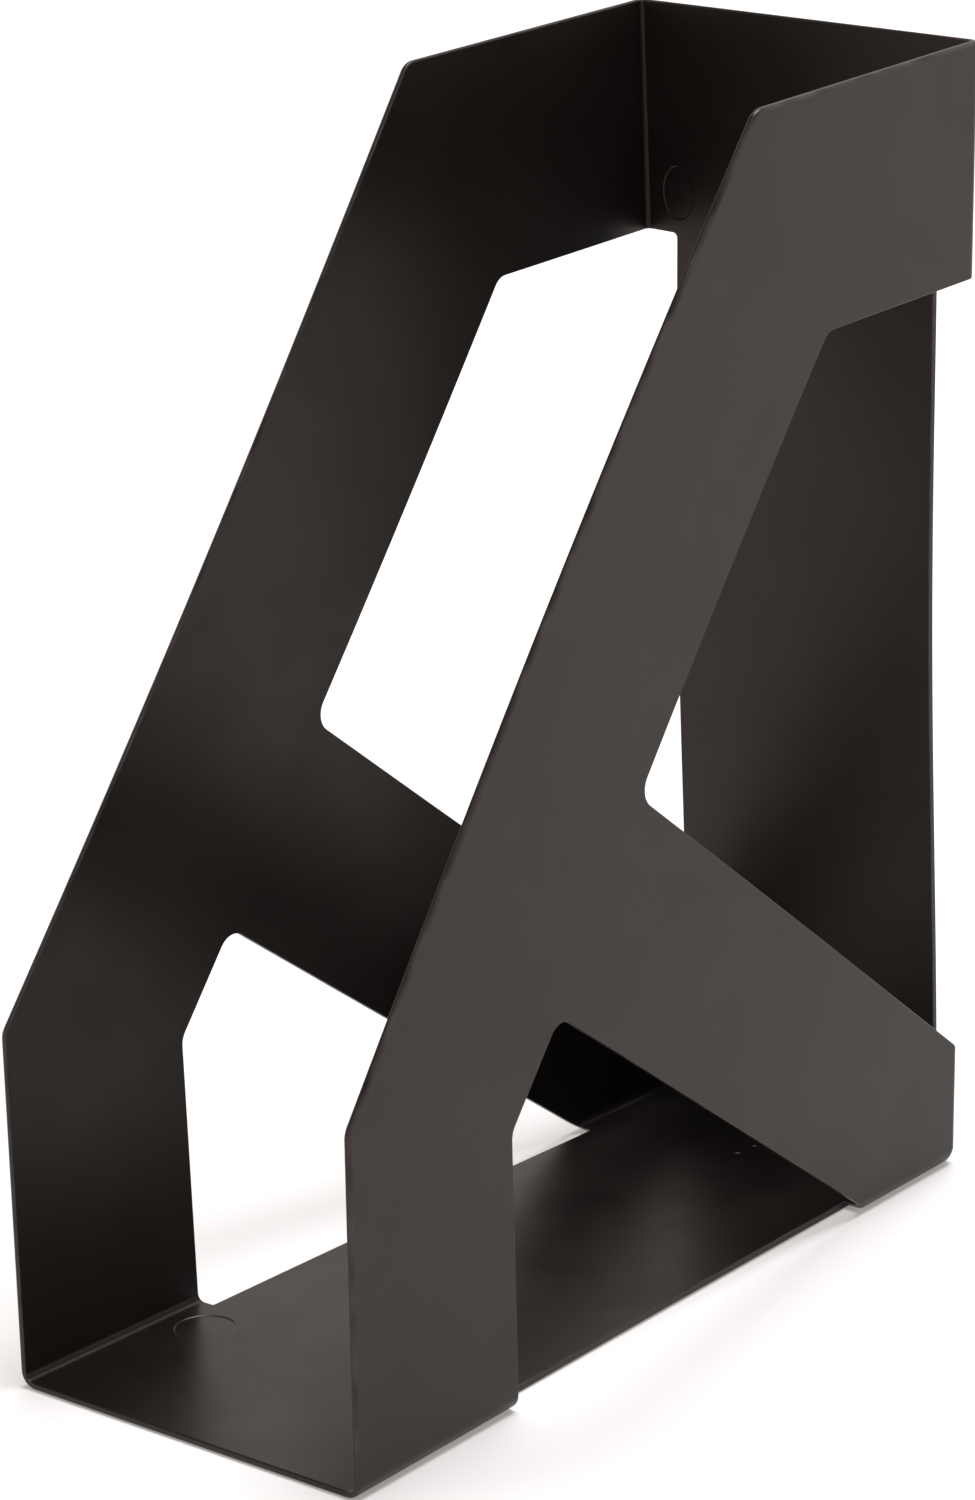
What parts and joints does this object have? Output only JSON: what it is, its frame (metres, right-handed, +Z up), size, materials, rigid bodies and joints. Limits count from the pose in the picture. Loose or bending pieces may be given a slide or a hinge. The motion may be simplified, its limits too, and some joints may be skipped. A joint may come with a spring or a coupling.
{
  "type": "magazine file holder",
  "caption": "Open-sided plastic magazine file with a sloped front, cut-away sides with diagonal braces, a narrow back strip and an open top for standing papers.",
  "frame": {"origin": "middle of the footprint rectangle, on the plane that the floor stands on", "axes": "+Z up, -Y towards the open front where papers slide in, +Y towards the back panel, +X to the right as seen from the front"},
  "size_m": [0.115, 0.263, 0.315],
  "materials": {
    "anthracite_plastic": "fine satin texture, slightly glossier inside"
  },
  "bodies": {
    "root": {"floor_panel": "anthracite_plastic", "back_panel": "anthracite_plastic", "left_front_leg": "anthracite_plastic", "left_sloped_rail": "anthracite_plastic", "left_top_band": "anthracite_plastic", "left_diagonal_brace": "anthracite_plastic", "right_front_leg": "anthracite_plastic", "right_sloped_rail": "anthracite_plastic", "right_top_band": "anthracite_plastic", "right_diagonal_brace": "anthracite_plastic"}
  },
  "joints": []
}
